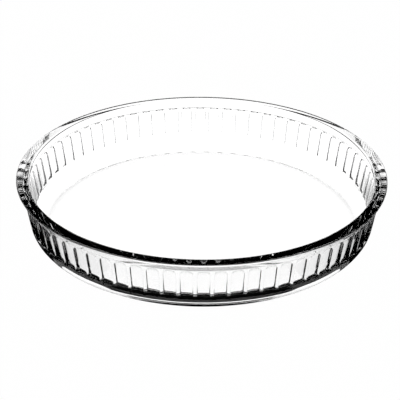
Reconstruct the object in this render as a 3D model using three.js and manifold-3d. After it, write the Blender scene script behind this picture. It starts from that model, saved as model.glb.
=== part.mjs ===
// Round fluted baking dish, one piece of clear pressed glass. Millimetres, +Z up.
// The origin is the middle of the base, on the surface that the dish stands on. The front is -Y.
import * as THREE from 'three';
import { mergeVertices } from 'three/addons/utils/BufferGeometryUtils.js';
import Module from 'manifold-3d';

// Driving dimensions of the dish
const rimDiameter = 280; // across the outer edge of the rim
const dishHeight = 44; // base to the top of the rim
const rimThickness = 1.62; // the rim's rounded edge, top to bottom
const rimEdgeFlat = 0.04; // upright band left at the middle of the rounded edge
const rimOverhang = 4.5; // how far the rim stands out past the wall
const rimSlope = 51.8; // degrees that the underside of the rim climbs on its way out
const rimInnerRounding = 2.8; // where the rim turns down into the inside
const rimUnderRounding = 1.67; // hollow rounding between the wall and the rim
const wallLean = 9.2; // degrees that the wall opens out from upright
const wallThickness = 5.91; // through the wall at a rib
const floorThickness = 3.65;
const outerCornerRounding = 12.5;
const innerCornerRounding = 13.8;

// Driving dimensions of the flutes, hollow grooves up the outside of the wall
const fluteCount = 72;
const fluteDepth = 0.94;
const fluteOvalDepth = 1.5; // half depth of the oval that a flute is cut with
const fluteEndLength = 5; // length of each rounded end of that oval
const ribWidth = 2.2; // wall left between two flutes, at half their height
const fluteTopGap = 0.66; // plain wall between a flute and the rim
const fluteBottomHeight = 12.4; // lower end of a flute, above the base
const firstRibAngle = 3.3; // degrees from the front towards +X

// Fineness of the facets
const arcSag = 0.1; // farthest that a chord may lie from its arc
const ovalSides = 12;
const ovalEndRings = 2;
const weldDistance = 1e-3;

const rimRadius = rimDiameter / 2;
const rimUnderside = dishHeight - rimThickness;
const rimEdgeRounding = (rimThickness - rimEdgeFlat) / 2;
const wallTop = rimUnderside - rimOverhang * Math.tan(THREE.MathUtils.degToRad(rimSlope));
const lean = THREE.MathUtils.degToRad(wallLean);
const outerWall = (z) => rimRadius - rimOverhang - (wallTop - z) * Math.tan(lean);
const innerWall = (z) => outerWall(z) - wallThickness / Math.cos(lean);

const wasm = await Module();
wasm.setup();

// Outline through the given corners, each rounded by an arc where it has a rounding
function roundedOutline(corners) {
  const points = [];
  corners.forEach(({ x, y, rounding }, i) => {
    const corner = new THREE.Vector2(x, y);
    if (!rounding) {
      points.push(corner);
      return;
    }
    const before = new THREE.Vector2(corners[i - 1].x, corners[i - 1].y).sub(corner).normalize();
    const after = new THREE.Vector2(corners[i + 1].x, corners[i + 1].y).sub(corner).normalize();
    const halfAngle = Math.acos(before.dot(after)) / 2;
    const toCentre = before.clone().add(after).setLength(rounding / Math.sin(halfAngle));
    const centre = corner.clone().add(toCentre);
    const start = corner.clone().addScaledVector(before, rounding / Math.tan(halfAngle)).sub(centre);
    const turn = Math.sign(before.cross(after)) * (2 * halfAngle - Math.PI);
    const steps = Math.ceil(Math.abs(turn) / (2 * Math.acos(1 - arcSag / rounding)));
    for (let step = 0; step <= steps; step++) {
      const spoke = start.clone().rotateAround(new THREE.Vector2(), (turn * step) / steps);
      points.push(centre.clone().add(spoke));
    }
  });
  return points;
}

// Closed solid of a geometry, with shared vertices welded and flattened triangles left out
function solidOf(geometry) {
  const bare = geometry.clone();
  bare.deleteAttribute('normal');
  bare.deleteAttribute('uv');
  const welded = mergeVertices(bare, weldDistance);
  const index = welded.getIndex().array;
  const triVerts = [];
  for (let i = 0; i < index.length; i += 3) {
    const [a, b, c] = index.slice(i, i + 3);
    if (a !== b && b !== c && c !== a) triVerts.push(a, b, c);
  }
  const mesh = new wasm.Mesh({
    numProp: 3,
    vertProperties: welded.getAttribute('position').array,
    triVerts: Uint32Array.from(triVerts),
  });
  return new wasm.Manifold(mesh);
}

function geometryOf(solid) {
  const { vertProperties, triVerts } = solid.getMesh();
  const geometry = new THREE.BufferGeometry();
  geometry.setAttribute('position', new THREE.BufferAttribute(vertProperties, 3));
  geometry.setIndex(new THREE.BufferAttribute(triVerts, 1));
  geometry.computeVertexNormals();
  return geometry;
}

// Plain dish, turned from its section: base, wall, rim, then the inside down to the floor
function plainDish() {
  const section = roundedOutline([
    { x: 0, y: 0 },
    { x: outerWall(0), y: 0, rounding: outerCornerRounding },
    { x: outerWall(wallTop), y: wallTop, rounding: rimUnderRounding },
    { x: rimRadius, y: rimUnderside, rounding: rimEdgeRounding },
    { x: rimRadius, y: dishHeight, rounding: rimEdgeRounding },
    { x: innerWall(dishHeight), y: dishHeight, rounding: rimInnerRounding },
    { x: innerWall(floorThickness), y: floorThickness, rounding: innerCornerRounding },
    { x: 0, y: floorThickness },
  ]);
  const dish = new THREE.LatheGeometry(section, fluteCount, THREE.MathUtils.degToRad(firstRibAngle));
  return dish.rotateX(Math.PI / 2);
}

// Oval rod with round ends that cuts one flute, lying along the wall at the front
function fluteCutter() {
  const fluteTop = wallTop - fluteTopGap;
  const middle = (fluteTop + fluteBottomHeight) / 2;
  const overWall = fluteOvalDepth - fluteDepth; // the rod's centre line stays this far outside the wall
  const cutShare = Math.sqrt(1 - (overWall / fluteOvalDepth) ** 2); // share of the oval's width in the wall's face
  const pitch = (2 * Math.PI * outerWall(middle)) / fluteCount;
  const halfWidth = (pitch - ribWidth) / 2 / cutShare;
  const straight = (fluteTop - fluteBottomHeight) / Math.cos(lean) - 2 * fluteEndLength * cutShare;
  const rod = new THREE.CapsuleGeometry(1, straight / fluteEndLength, ovalEndRings, ovalSides);
  rod.scale(halfWidth, fluteEndLength, fluteOvalDepth);
  rod.rotateX(Math.PI / 2 + lean);
  const outwards = new THREE.Vector3(0, -Math.cos(lean), -Math.sin(lean));
  const place = new THREE.Vector3(0, -outerWall(middle), middle).addScaledVector(outwards, overWall);
  return rod.translate(place.x, place.y, place.z);
}

function flutedDish() {
  const cutter = fluteCutter();
  let dish = solidOf(plainDish());
  for (let flute = 0; flute < fluteCount; flute++) {
    const turn = THREE.MathUtils.degToRad(firstRibAngle) + ((flute + 0.5) * 2 * Math.PI) / fluteCount;
    dish = dish.subtract(solidOf(cutter.clone().rotateZ(turn)));
  }
  return geometryOf(dish);
}

const clearGlass = new THREE.MeshStandardMaterial({
  name: 'clear_glass',
  color: 0xf2f4f4,
  roughness: 0.03,
  metalness: 0,
  transparent: true,
  opacity: 0.35,
});

const dish = new THREE.Mesh(flutedDish(), clearGlass);
dish.name = 'fluted_dish';

const bakingDish = new THREE.Group();
bakingDish.add(dish);

export default bakingDish;
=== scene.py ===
import math

import bmesh
import bpy
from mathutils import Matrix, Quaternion, Vector


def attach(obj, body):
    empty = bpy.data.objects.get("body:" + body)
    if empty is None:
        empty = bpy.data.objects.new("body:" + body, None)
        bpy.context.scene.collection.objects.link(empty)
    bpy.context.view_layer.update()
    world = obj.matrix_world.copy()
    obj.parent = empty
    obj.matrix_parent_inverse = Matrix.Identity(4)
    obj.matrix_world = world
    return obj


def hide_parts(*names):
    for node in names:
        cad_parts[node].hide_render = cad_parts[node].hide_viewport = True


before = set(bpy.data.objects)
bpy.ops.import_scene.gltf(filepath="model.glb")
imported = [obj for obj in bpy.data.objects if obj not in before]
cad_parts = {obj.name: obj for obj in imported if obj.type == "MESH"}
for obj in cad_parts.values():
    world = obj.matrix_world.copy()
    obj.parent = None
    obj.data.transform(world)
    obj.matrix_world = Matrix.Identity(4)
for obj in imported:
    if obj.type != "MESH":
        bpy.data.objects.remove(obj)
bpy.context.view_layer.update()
print("frame loaded")


class Value:
    # one socket of a node tree, so that shader maths reads as maths
    def __init__(self, tree, socket):
        self.tree = tree
        self.socket = socket

    def math(self, operation, *others):
        return self.tree.add("Math", {"operation": operation}, dict(enumerate((self, *others)))).out()

    def __add__(self, other):
        return self.math("ADD", other)

    __radd__ = __add__

    def __mul__(self, other):
        return self.math("MULTIPLY", other)

    __rmul__ = __mul__

    def __sub__(self, other):
        return self.math("SUBTRACT", other)

    def __rsub__(self, other):
        return self * -1 + other

    def __or__(self, other):
        return self.math("MAXIMUM", other)


class Node:
    def __init__(self, tree, node):
        self.tree = tree
        self.node = node

    def out(self, name=0):
        return Value(self.tree, self.node.outputs[name])


class Tree:
    # node tree of a material or the world, emptied
    def __init__(self, owner):
        owner.use_nodes = True
        self.nodes = owner.node_tree.nodes
        self.links = owner.node_tree.links
        self.nodes.clear()

    def add(self, kind, settings=None, sockets=None):
        node = self.nodes.new("ShaderNode" + kind)
        for name, setting in (settings or {}).items():
            setattr(node, name, setting)
        for name, value in (sockets or {}).items():
            if isinstance(value, Value):
                self.links.new(value.socket, node.inputs[name])
            else:
                node.inputs[name].default_value = value
        return Node(self, node)


def newMaterial(name):
    material = bpy.data.materials.new(name)
    return material, Tree(material)


def deselectAll():
    if bpy.context.mode != "OBJECT":
        bpy.ops.object.mode_set(mode="OBJECT")
    bpy.ops.object.select_all(action="DESELECT")


def pickVerts(piece, wanted):
    # selects the vertices that pass the test, and the edges between them
    bpy.ops.mesh.select_all(action="DESELECT")
    mesh = bmesh.from_edit_mesh(piece.data)
    for vert in mesh.verts:
        vert.select = wanted(vert.co)
    mesh.select_flush(True)
    bmesh.update_edit_mesh(piece.data)


# dish, metres and degrees
dish = {
    "rimRadius": 0.140,
    "height": 0.044,
    "rimThickness": 0.00162,
    "rimOverhang": 0.0045,
    "rimSlope": 51.8,
    "wallLean": 9.2,
    "wallThickness": 0.00591,
    "floorThickness": 0.00365,
    "outerCorner": 0.0125,
    "innerCorner": 0.0138,
    "rimEdge": 0.00079,
    "rimInner": 0.0028,
    "rimUnder": 0.00167,
    "fluteCount": 72,
    "ribHalfWidth": 0.0011,
    "sideWidth": 0.0008,
    "sideDepth": 0.0006,
    "hollowDepth": 0.0004,
    "fluteTop": 0.036,
    "fluteTopCorner": 0.0035,
    "fluteBottom": 0.01236,
    "fluteFade": 0.00503,
    "firstRib": 3.3,
    "ribSteps": [(1, 0.19), (4, 0.138), (3, 0.672)],  # spins, as shares of half a flute
    "cornerSteps": 16,
    "rimSteps": 6,
    "underSteps": 4,
    "fadeRows": 5,
    "archRows": 7,
    "baseRing": 0.116,  # edge rings that keep the flat base and floor flat beside their corners
    "floorRing": 0.108,
}
samePlace = 1e-6
nearWall = 1e-5
weldShare = 1e-7
weldDish = 2e-6
lean = math.radians(dish["wallLean"])
pitch = 2 * math.pi / dish["fluteCount"]
firstRib = math.radians(dish["firstRib"])
rimSlope = math.radians(dish["rimSlope"])
rimUnderside = dish["height"] - dish["rimThickness"]
wallTop = rimUnderside - dish["rimOverhang"] * math.tan(rimSlope)
fluteBottom = dish["fluteBottom"]
fluteFull = fluteBottom + dish["fluteFade"]
archFoot = dish["fluteTop"] - dish["fluteTopCorner"]


def outerWall(height):
    return dish["rimRadius"] - dish["rimOverhang"] - (wallTop - height) * math.tan(lean)


def innerWall(height):
    return outerWall(height) - dish["wallThickness"] / math.cos(lean)


def sectionPlace(radius, height):
    # the section stands on the first rib, which is near the front
    return Vector((radius * math.sin(firstRib), -radius * math.cos(firstRib), height))


def onOuterWall(co):
    return co.xy.length > outerWall(co.z) - nearWall


def drawSection(piece):
    floor = dish["floorThickness"]
    upright = math.pi / 2 + lean  # angle between the wall and the floor
    square = math.pi / 2
    # radius, height, rounding, its steps and the angle that it rounds
    corners = [
        (dish["baseRing"], 0, None),
        (outerWall(0), 0, (dish["outerCorner"], dish["cornerSteps"], upright)),
        (outerWall(fluteBottom), fluteBottom, None),
        (outerWall(fluteFull), fluteFull, None),
        (outerWall(archFoot), archFoot, None),
        (outerWall(dish["fluteTop"]), dish["fluteTop"], None),
        (outerWall(wallTop), wallTop, (dish["rimUnder"], dish["underSteps"], upright + rimSlope)),
        (dish["rimRadius"], rimUnderside, (dish["rimEdge"], dish["rimSteps"], square + rimSlope)),
        (dish["rimRadius"], dish["height"], (dish["rimEdge"], dish["rimSteps"], square)),
        (innerWall(dish["height"]), dish["height"], (dish["rimInner"], dish["rimSteps"], upright)),
        (innerWall(floor), floor, (dish["innerCorner"], dish["cornerSteps"], upright)),
        (dish["floorRing"], floor, None),
        (0, floor, None),
    ]
    last = Vector((0, 0, 0))
    for radius, height, rounding in corners:
        place = sectionPlace(radius, height)
        bpy.ops.mesh.extrude_region_move(TRANSFORM_OT_translate={"value": place - last})
        last = place
    for radius, height, rounding in corners:
        if rounding is None:
            continue
        place = sectionPlace(radius, height)
        size, steps, angle = rounding
        pickVerts(piece, lambda co: (co - place).length < samePlace)
        reach = size / math.tan(angle / 2)
        bpy.ops.mesh.bevel(
            offset_type="ABSOLUTE", offset=reach, segments=steps, affect="VERTICES", clamp_overlap=False
        )
    # more rows where the flutes begin and end
    fadeEnd = (fluteBottom, fluteFull, dish["fadeRows"])
    archEnd = (archFoot, dish["fluteTop"], dish["archRows"])
    for low, high, cuts in (fadeEnd, archEnd):
        pickVerts(piece, lambda co: low - nearWall < co.z < high + nearWall and onOuterWall(co))
        bpy.ops.mesh.subdivide(number_cuts=cuts)


def fluteShare(co):
    # how far a place on the outside is sunk into a flute, from 0 on a rib to 1 along the flute's middle
    radius = co.xy.length
    if not fluteBottom < co.z < wallTop or radius < innerWall(co.z) + dish["wallThickness"] / 2:
        return 0
    turn = (math.atan2(co.x, -co.y) - firstRib) % pitch
    hollow = pitch / 2 * radius - dish["ribHalfWidth"]
    side = min(turn, pitch - turn) * radius - dish["ribHalfWidth"]
    over = (dish["fluteTop"] - co.z) / math.cos(lean)
    corner = dish["fluteTopCorner"]
    inside = min(side, over)
    if side < corner and over < corner:
        inside = corner - math.hypot(corner - side, corner - over)
    inside = max(inside, 0)
    # a steep narrow side, then a shallow hollow
    step = min(inside / dish["sideWidth"], 1)
    steep = dish["sideDepth"] * step * step * (3 - 2 * step)
    shallow = dish["hollowDepth"] * (1 - (1 - min(inside / hollow, 1)) ** 2)
    rise = min((co.z - fluteBottom) / dish["fluteFade"], 1)
    fade = rise * rise * (3 - 2 * rise)
    return fade * (steep + shallow) / (dish["sideDepth"] + dish["hollowDepth"])


def makeDish():
    deselectAll()
    bpy.ops.mesh.primitive_plane_add(size=0.01)
    piece = bpy.context.object
    piece.name = "dishGlass"
    bpy.ops.object.mode_set(mode="EDIT")
    bpy.ops.mesh.select_mode(type="VERT")
    bpy.ops.mesh.select_all(action="SELECT")
    bpy.ops.mesh.merge(type="CENTER")
    drawSection(piece)
    # one flute's share of the dish, from rib to rib
    bpy.ops.mesh.select_all(action="SELECT")
    for steps, share in dish["ribSteps"] + dish["ribSteps"][::-1]:
        bpy.ops.mesh.spin(steps=steps, angle=share * pitch / 2, center=(0, 0, 0), axis=(0, 0, 1))
    bpy.ops.mesh.select_all(action="SELECT")
    bpy.ops.mesh.remove_doubles(threshold=weldShare)
    bpy.ops.mesh.normals_make_consistent(inside=False)
    bpy.ops.object.mode_set(mode="OBJECT")
    flutes = piece.vertex_groups.new(name="flutes")
    for vert in piece.data.vertices:
        flutes.add([vert.index], fluteShare(vert.co), "REPLACE")
    press = piece.modifiers.new("press", "DISPLACE")
    press.vertex_group = "flutes"
    press.mid_level = 0
    press.strength = -dish["sideDepth"] - dish["hollowDepth"]
    bpy.ops.object.modifier_apply(modifier="press")
    # the same share all the way round
    bpy.ops.object.mode_set(mode="EDIT")
    bpy.ops.mesh.select_all(action="SELECT")
    copies = dish["fluteCount"] - 1
    bpy.ops.mesh.spin(steps=copies, angle=copies * pitch, center=(0, 0, 0), axis=(0, 0, 1), dupli=True)
    bpy.ops.mesh.select_all(action="SELECT")
    bpy.ops.mesh.remove_doubles(threshold=weldDish)
    bpy.ops.mesh.normals_make_consistent(inside=False)
    bpy.ops.object.mode_set(mode="OBJECT")
    bpy.ops.object.shade_smooth()
    return piece


glass = {"ior": 1.474, "waveSize": 28.0, "waveHeight": 0.00002}


def makeGlass():
    material, tree = newMaterial("clearPressedGlass")
    place = tree.add("TexCoord").out("Object")
    waves = tree.add("TexNoise", {}, {"Vector": place, "Scale": glass["waveSize"], "Detail": 1.0}).out("Fac")
    bump = tree.add("Bump", {}, {"Strength": 1.0, "Distance": glass["waveHeight"], "Height": waves}).out()
    shader = tree.add(
        "BsdfPrincipled",
        {},
        {
            "Base Color": (1, 1, 1, 1),
            "Roughness": 0.0,
            "IOR": glass["ior"],
            "Transmission Weight": 1.0,
            "Normal": bump,
        },
    )
    tree.add("OutputMaterial", {}, {"Surface": shader.out()})
    return material


dishGlass = makeDish()
dishGlass.data.materials.append(makeGlass())
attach(dishGlass, "root")
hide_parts("fluted_dish")
print("dish", len(dishGlass.data.polygons), "faces")

# white sweep: the floor and the world are white to the camera and through the glass
sweep = {
    "floorSize": 6.0,
    "floorDrop": 0.0006,
    "paper": (0.9, 0.9, 0.9, 1),
    "ownLight": 0.99,
    "throughGlass": 1.25,
    "worldLight": 0.8,
}


def seenDirectly(tree):
    path = tree.add("LightPath")
    camera = path.out("Is Camera Ray")
    return camera, camera | path.out("Is Glossy Ray") | path.out("Is Transmission Ray")


def makeFloor():
    deselectAll()
    bpy.ops.mesh.primitive_plane_add(size=sweep["floorSize"], location=(0, 0, -sweep["floorDrop"]))
    floor = bpy.context.object
    floor.name = "whiteFloor"
    bpy.ops.object.transform_apply(location=True)
    material, tree = newMaterial("whitePaper")
    camera, seen = seenDirectly(tree)
    strength = sweep["throughGlass"] - (sweep["throughGlass"] - 1) * camera
    paper = tree.add("BsdfDiffuse", {}, {"Color": sweep["paper"]})
    glow = tree.add("Emission", {}, {"Color": (1, 1, 1, 1), "Strength": strength})
    mix = tree.add("MixShader", {}, {0: seen * sweep["ownLight"], 1: paper.out(), 2: glow.out()})
    tree.add("OutputMaterial", {}, {"Surface": mix.out()})
    floor.data.materials.append(material)


def makeWorld():
    world = bpy.data.worlds.new("whiteStudio")
    bpy.context.scene.world = world
    tree = Tree(world)
    seen = seenDirectly(tree)[1]
    strength = seen + (1 - seen) * sweep["worldLight"]
    light = tree.add("Background", {}, {"Color": (1, 1, 1, 1), "Strength": strength})
    tree.add("OutputWorld", {}, {"Surface": light.out()})


# cards that the glass sees and the camera doesn't: black ones are painted shadow and painted dark reflections
# that draw its dark edges, white ones are painted light that clears its sides
cards = {
    # black of the painted shadow and the painted dark reflections
    "black": (0.004, 0.004, 0.004, 1),
    "drop": 0.0003,
    "ringPoints": 192,
    # each hole's turns from the front in degrees, with its reach there
    "frontHole": [(0, 0.1088), (20, 0.1088), (28, 0.1150), (38, 0.1180), (53, 0.1190)],
    "sideHole": [(61, 0.1095), (76, 0.1095), (97, 0.140), (180, 0.140)],
    "slitInner": 0.1144,
    "slitOuter": 0.1158,
    "slitTurn": 45.0,
    "ringBack": -0.085,
    "cardRadius": 1.2,
    "fadeStart": 0.0,
    "fadeEnd": 0.085,
    "tentRadius": 2.4,
    "tentSegments": 96,
    "tentRings": 48,
    "tentFoot": -0.02,  # lowest height, as a share of the tent's radius
    "tentTop": 50.0,
    "tentFront": 60.0,
}
hole = cards["frontHole"] + cards["sideHole"]

# flat arcs that paint light and shade into the glass: height, inner and outer reach, first and last turn from
# the front
allRound = 181  # past the last turn
arcs = {
    "paintedLightInside": (0.0115, 0.105, 0.1235, 36, 68),
    "paintedDarkUnderRim": (0.0372, 0.1362, 0.150, 66, 97),
    "paintedDarkRimEdge": (0.0413, 0.1394, 0.1415, 100, allRound),
    "paintedDarkRimTop": (0.0345, 0.1388, 0.1400, 100, allRound),
    "paintedDarkFarFloor": (-cards["drop"], 0.40, cards["cardRadius"], 110, allRound),
}


def hideFromCamera(card, material):
    card.data.materials.append(material)
    card.visible_camera = False
    card.visible_diffuse = False
    card.visible_shadow = False


def makePaintedDark(name, fadeStart, fadeEnd):
    # painted shadow and painted dark reflections, seen only through the glass: black that fades to clear
    # towards the back
    material, tree = newMaterial(name)
    place = tree.add("TexCoord").out("Object")
    back = tree.add("SeparateXYZ", {}, {0: place}).out("Y")
    ends = {"Value": back, "From Min": fadeStart, "From Max": fadeEnd}
    fade = tree.add("MapRange", {"interpolation_type": "SMOOTHSTEP"}, ends).out()
    black = tree.add("BsdfDiffuse", {}, {"Color": cards["black"]})
    clear = tree.add("BsdfTransparent")
    mix = tree.add("MixShader", {}, {0: fade, 1: black.out(), 2: clear.out()})
    tree.add("OutputMaterial", {}, {"Surface": mix.out()})
    return material


def makePaintedLight():
    # painted light: a white sheet that glows though it is no lamp, seen only through the glass
    material, tree = newMaterial("paintedLightCard")
    glow = tree.add("Emission", {}, {"Color": (1, 1, 1, 1), "Strength": 1.0})
    tree.add("OutputMaterial", {}, {"Surface": glow.out()})
    return material


def holeEdge(turn):
    # reach of the hole at a turn from the front, eased between its given reaches
    for (low, near), (high, far) in zip(hole, hole[1:]):
        if turn <= high:
            share = (turn - low) / (high - low)
            return near + (far - near) * share * share * (3 - 2 * share)


def slitInner(turn):
    return max(holeEdge(turn), cards["slitInner"])


def slitOuter(turn):
    if turn > cards["slitTurn"]:
        return holeEdge(turn)
    return max(holeEdge(turn), cards["slitOuter"])


def turnFromFront(place):
    return math.degrees(abs(math.atan2(place.x, -place.y)))


def makeRing(name, height, innerEdge, outerEdge):
    # flat ring between two outlines, left in edit mode with all of it selected
    deselectAll()
    bpy.ops.mesh.primitive_circle_add(vertices=cards["ringPoints"], radius=1, location=(0, 0, height))
    ring = bpy.context.object
    ring.name = name
    bpy.ops.object.transform_apply(location=True)
    bpy.ops.object.mode_set(mode="EDIT")
    bpy.ops.mesh.select_mode(type="VERT")
    bpy.ops.mesh.select_all(action="SELECT")
    bpy.ops.mesh.extrude_region_move()
    mesh = bmesh.from_edit_mesh(ring.data)
    for vert in mesh.verts:
        turn = turnFromFront(vert.co)
        reach = innerEdge(turn) if vert.select else outerEdge(turn)
        vert.co.xy = vert.co.xy.normalized() * reach
    bmesh.update_edit_mesh(ring.data)
    bpy.ops.mesh.select_all(action="SELECT")
    return ring


def deleteFaces(piece, unwanted):
    bpy.ops.mesh.select_mode(type="FACE")
    bpy.ops.mesh.select_all(action="DESELECT")
    mesh = bmesh.from_edit_mesh(piece.data)
    for face in mesh.faces:
        face.select = unwanted(face.calc_center_median())
    bmesh.update_edit_mesh(piece.data)
    bpy.ops.mesh.delete(type="FACE")


def makePaintedShadow(name, innerEdge, outerEdge, back):
    # painted shadow of the dish on the floor, seen only through the glass: a black sheet under the dish with
    # a straight back edge
    card = makeRing(name, -cards["drop"], innerEdge, outerEdge)
    bpy.ops.mesh.bisect(plane_co=(0, back, 0), plane_no=(0, 1, 0), clear_outer=True)
    bpy.ops.object.mode_set(mode="OBJECT")
    hideFromCamera(card, makePaintedDark("paintedShadowSheet", cards["fadeStart"], cards["fadeEnd"]))


def makeArc(name, material):
    # part of a flat ring, for one painted light line or one painted dark line in the glass
    height, inner, outer, first, last = arcs[name]
    arc = makeRing(name, height, lambda turn: inner, lambda turn: outer)
    deleteFaces(arc, lambda middle: not first < turnFromFront(middle) < last)
    bpy.ops.object.mode_set(mode="OBJECT")
    hideFromCamera(arc, material)


def overTent(middle):
    top = math.sin(math.radians(cards["tentTop"]))
    height = middle.normalized().z
    return turnFromFront(middle) < cards["tentFront"] or not cards["tentFoot"] < height < top


def makeTent():
    # painted dark reflection, seen only in the glass: dark behind and at the sides, open to the white world
    # overhead and at the front
    deselectAll()
    bpy.ops.mesh.primitive_uv_sphere_add(
        segments=cards["tentSegments"], ring_count=cards["tentRings"], radius=cards["tentRadius"]
    )
    tent = bpy.context.object
    tent.name = "paintedDarkTent"
    bpy.ops.object.mode_set(mode="EDIT")
    deleteFaces(tent, overTent)
    bpy.ops.object.mode_set(mode="OBJECT")
    hideFromCamera(tent, paintedDarkInGlass)


makeFloor()
makeWorld()
# painted shadow of the dish on the floor, around its base and under its wall, seen only through the glass
makePaintedShadow("paintedShadowFloor", slitOuter, lambda turn: cards["cardRadius"], cards["fadeEnd"])
makePaintedShadow("paintedShadowBaseRing", holeEdge, slitInner, cards["ringBack"])
# the painted dark reflection's fade starts past the tent, so it is black all over
paintedDarkInGlass = makePaintedDark("paintedDarkInGlass", cards["tentRadius"], cards["tentRadius"] + 1)
makeTent()
# painted light inside the dish near its floor at the sides, seen only through the glass
makeArc("paintedLightInside", makePaintedLight())
# painted shade under the rim at the sides, painted dark lines along the rim at the back and a painted dark
# far floor, all seen only in the glass
for name in ("paintedDarkUnderRim", "paintedDarkRimEdge", "paintedDarkRimTop", "paintedDarkFarFloor"):
    makeArc(name, paintedDarkInGlass)
print("sweep and cards set")

# camera, fitted to the outlines of the rim and the base
shot = {
    "distance": 1.05,
    "elevation": 28.917,
    "roll": 0.516,
    "focalPixels": 1355.8,
    "framePixels": 400,
    "sensorWidth": 36,
    "basePixel": (201.44, 221.63),
}


def makeCamera():
    camera = bpy.data.cameras.new("shot")
    holder = bpy.data.objects.new("shot", camera)
    bpy.context.scene.collection.objects.link(holder)
    frameSize = shot["framePixels"]
    elevation = math.radians(shot["elevation"])
    ahead = Vector((0, math.cos(elevation), -math.sin(elevation)))
    camera.sensor_width = shot["sensorWidth"]
    camera.lens = shot["focalPixels"] * camera.sensor_width / frameSize
    camera.shift_x = 0.5 - shot["basePixel"][0] / frameSize
    camera.shift_y = shot["basePixel"][1] / frameSize - 0.5
    holder.location = -ahead * shot["distance"]
    holder.rotation_mode = "QUATERNION"
    roll = Quaternion((0, 0, 1), math.radians(shot["roll"]))
    holder.rotation_quaternion = ahead.to_track_quat("-Z", "Y") @ roll
    bpy.context.scene.camera = holder


makeCamera()
bpy.context.scene.view_settings.view_transform = "Standard"
print("camera set")
